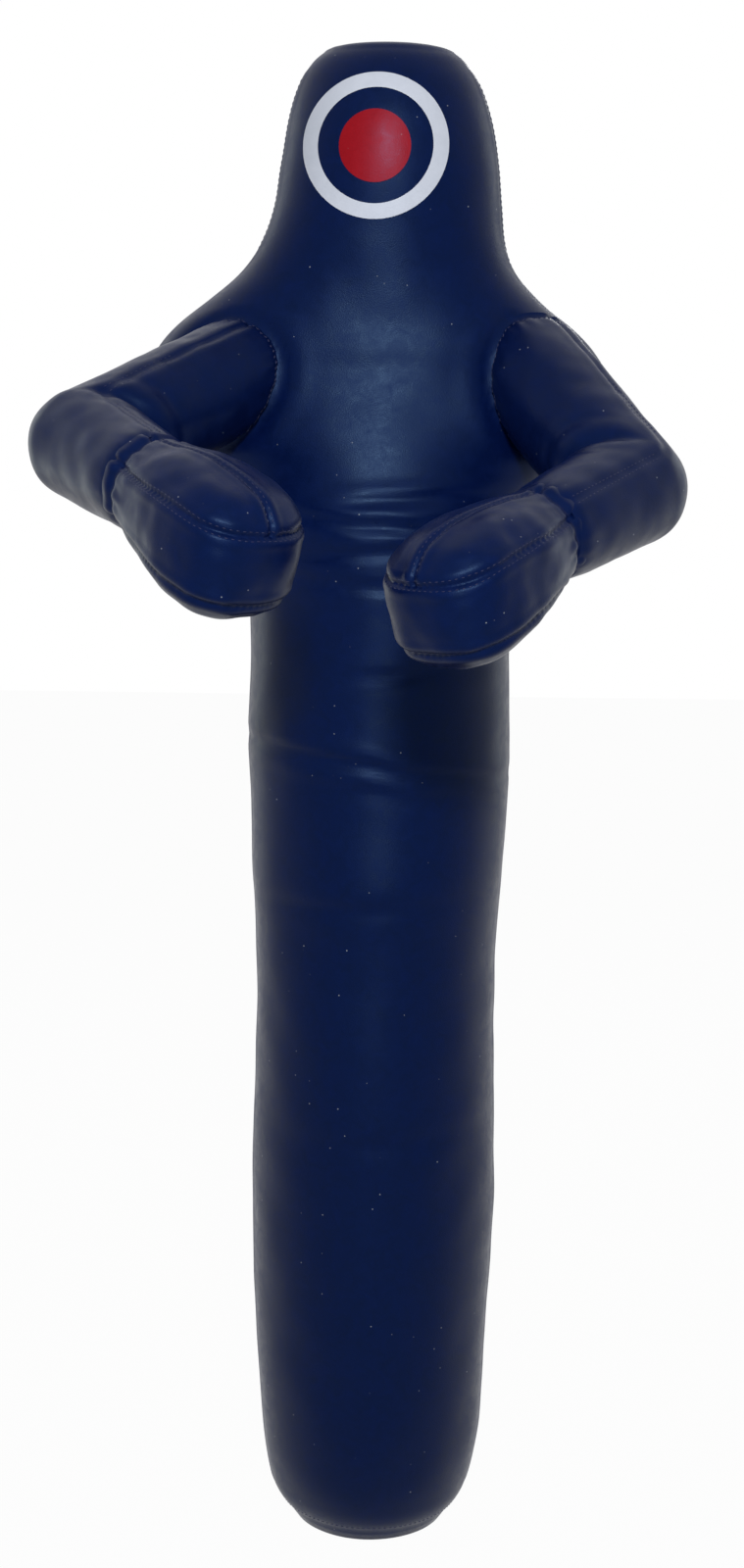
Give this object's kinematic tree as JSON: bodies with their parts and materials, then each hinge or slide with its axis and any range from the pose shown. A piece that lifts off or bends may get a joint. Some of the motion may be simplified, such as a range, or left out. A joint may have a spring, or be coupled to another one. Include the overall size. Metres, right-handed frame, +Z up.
{
  "type": "body opponent mannequin",
  "caption": "Free-standing stuffed grappling mannequin: sewn trunk with a head and a round target print, two bent arms ending in mitts, closed by a zip down the back.",
  "frame": {"origin": "centre of the flat base, on the floor", "axes": "+Z up, the mannequin faces -Y, and its own right arm is on -X"},
  "size_m": [0.6961, 0.7084, 1.77],
  "materials": {
    "navy_vinyl": "semi-gloss, fine grain",
    "target_white": "printed, semi-gloss",
    "target_red": "printed, semi-gloss",
    "textile_filling": "packed textile waste",
    "foam_lining": "matte foam sheet",
    "zip_tape": "woven, matte",
    "zip_coil": "moulded nylon",
    "zip_metal": "nickel plated"
  },
  "bodies": {
    "torso": {"base_cover": "navy_vinyl", "front_cover": "navy_vinyl", "back_cover_right": "navy_vinyl", "back_cover_left": "navy_vinyl", "foam_lining": "foam_lining", "base_filling": "textile_filling", "waist_filling": "textile_filling", "belly_filling": "textile_filling", "chest_and_head_filling": "textile_filling", "target_ring": "target_white", "target_bullseye": "target_red", "zip_tape_right": "zip_tape", "zip_tape_left": "zip_tape", "zip_coil_right": "zip_coil", "zip_coil_left": "zip_coil", "zip_top_stop": "zip_metal", "zip_bottom_stop": "zip_metal"},
    "zip_slider": {"zip_slider": "zip_metal"},
    "zip_pull": {"zip_pull": "zip_metal"},
    "right_upper_arm": {"right_upper_sleeve_top": "navy_vinyl", "right_upper_sleeve_under": "navy_vinyl", "right_upper_arm_filling": "textile_filling"},
    "right_forearm": {"right_forearm_sleeve_top": "navy_vinyl", "right_forearm_sleeve_under": "navy_vinyl", "right_forearm_filling": "textile_filling"},
    "right_mitt": {"right_mitt_top_outer": "navy_vinyl", "right_mitt_top_inner": "navy_vinyl", "right_mitt_band": "navy_vinyl", "right_mitt_sole": "navy_vinyl", "right_mitt_filling": "textile_filling"},
    "left_upper_arm": {"left_upper_sleeve_top": "navy_vinyl", "left_upper_sleeve_under": "navy_vinyl", "left_upper_arm_filling": "textile_filling"},
    "left_forearm": {"left_forearm_sleeve_top": "navy_vinyl", "left_forearm_sleeve_under": "navy_vinyl", "left_forearm_filling": "textile_filling"},
    "left_mitt": {"left_mitt_top_outer": "navy_vinyl", "left_mitt_top_inner": "navy_vinyl", "left_mitt_band": "navy_vinyl", "left_mitt_sole": "navy_vinyl", "left_mitt_filling": "textile_filling"}
  },
  "joints": [
    {"name": "right_shoulder", "type": "hinge", "parent": "torso", "child": "right_upper_arm", "pos_m": [-0.178, -0.077, 1.391], "axis": [-1, 0, 0], "range_deg": [-25, 25], "stiffness_Nm_per_rad": 60, "springref_deg": 4.56},
    {"name": "right_elbow", "type": "hinge", "parent": "right_upper_arm", "child": "right_forearm", "pos_m": [-0.31402, -0.22807, 1.321], "axis": [-0.1386, -0.3108, 0.9403], "range_deg": [-30, 4], "stiffness_Nm_per_rad": 30, "springref_deg": 1.14},
    {"name": "right_wrist", "type": "hinge", "parent": "right_forearm", "child": "right_mitt", "pos_m": [-0.22942, -0.37462, 1.28503], "axis": [-0.7547, -0.6561, 0], "range_deg": [-15, 15], "stiffness_Nm_per_rad": 20, "springref_deg": 1.98},
    {"name": "left_shoulder", "type": "hinge", "parent": "torso", "child": "left_upper_arm", "pos_m": [0.178, -0.077, 1.391], "axis": [-1, 0, 0], "range_deg": [-25, 25], "stiffness_Nm_per_rad": 60, "springref_deg": 4.66},
    {"name": "left_elbow", "type": "hinge", "parent": "left_upper_arm", "child": "left_forearm", "pos_m": [0.2621, -0.24206, 1.28188], "axis": [-0.2222, 0.4564, -0.8616], "range_deg": [-30, 4], "stiffness_Nm_per_rad": 30, "springref_deg": 2.31},
    {"name": "left_wrist", "type": "hinge", "parent": "left_forearm", "child": "left_mitt", "pos_m": [0.15898, -0.37404, 1.23856], "axis": [-0.7431, 0.6691, 0], "range_deg": [-15, 15], "stiffness_Nm_per_rad": 20, "springref_deg": 1.98},
    {"name": "zip_slide", "type": "slide", "parent": "torso", "child": "zip_slider", "axis": [0, 0, -1], "range_m": [0, 0.62]},
    {"name": "zip_pull_swing", "type": "hinge", "parent": "zip_slider", "child": "zip_pull", "pos_m": [0, 0.15405, 1.09705], "axis": [1, 0, 0], "range_deg": [0, 160]}
  ]
}
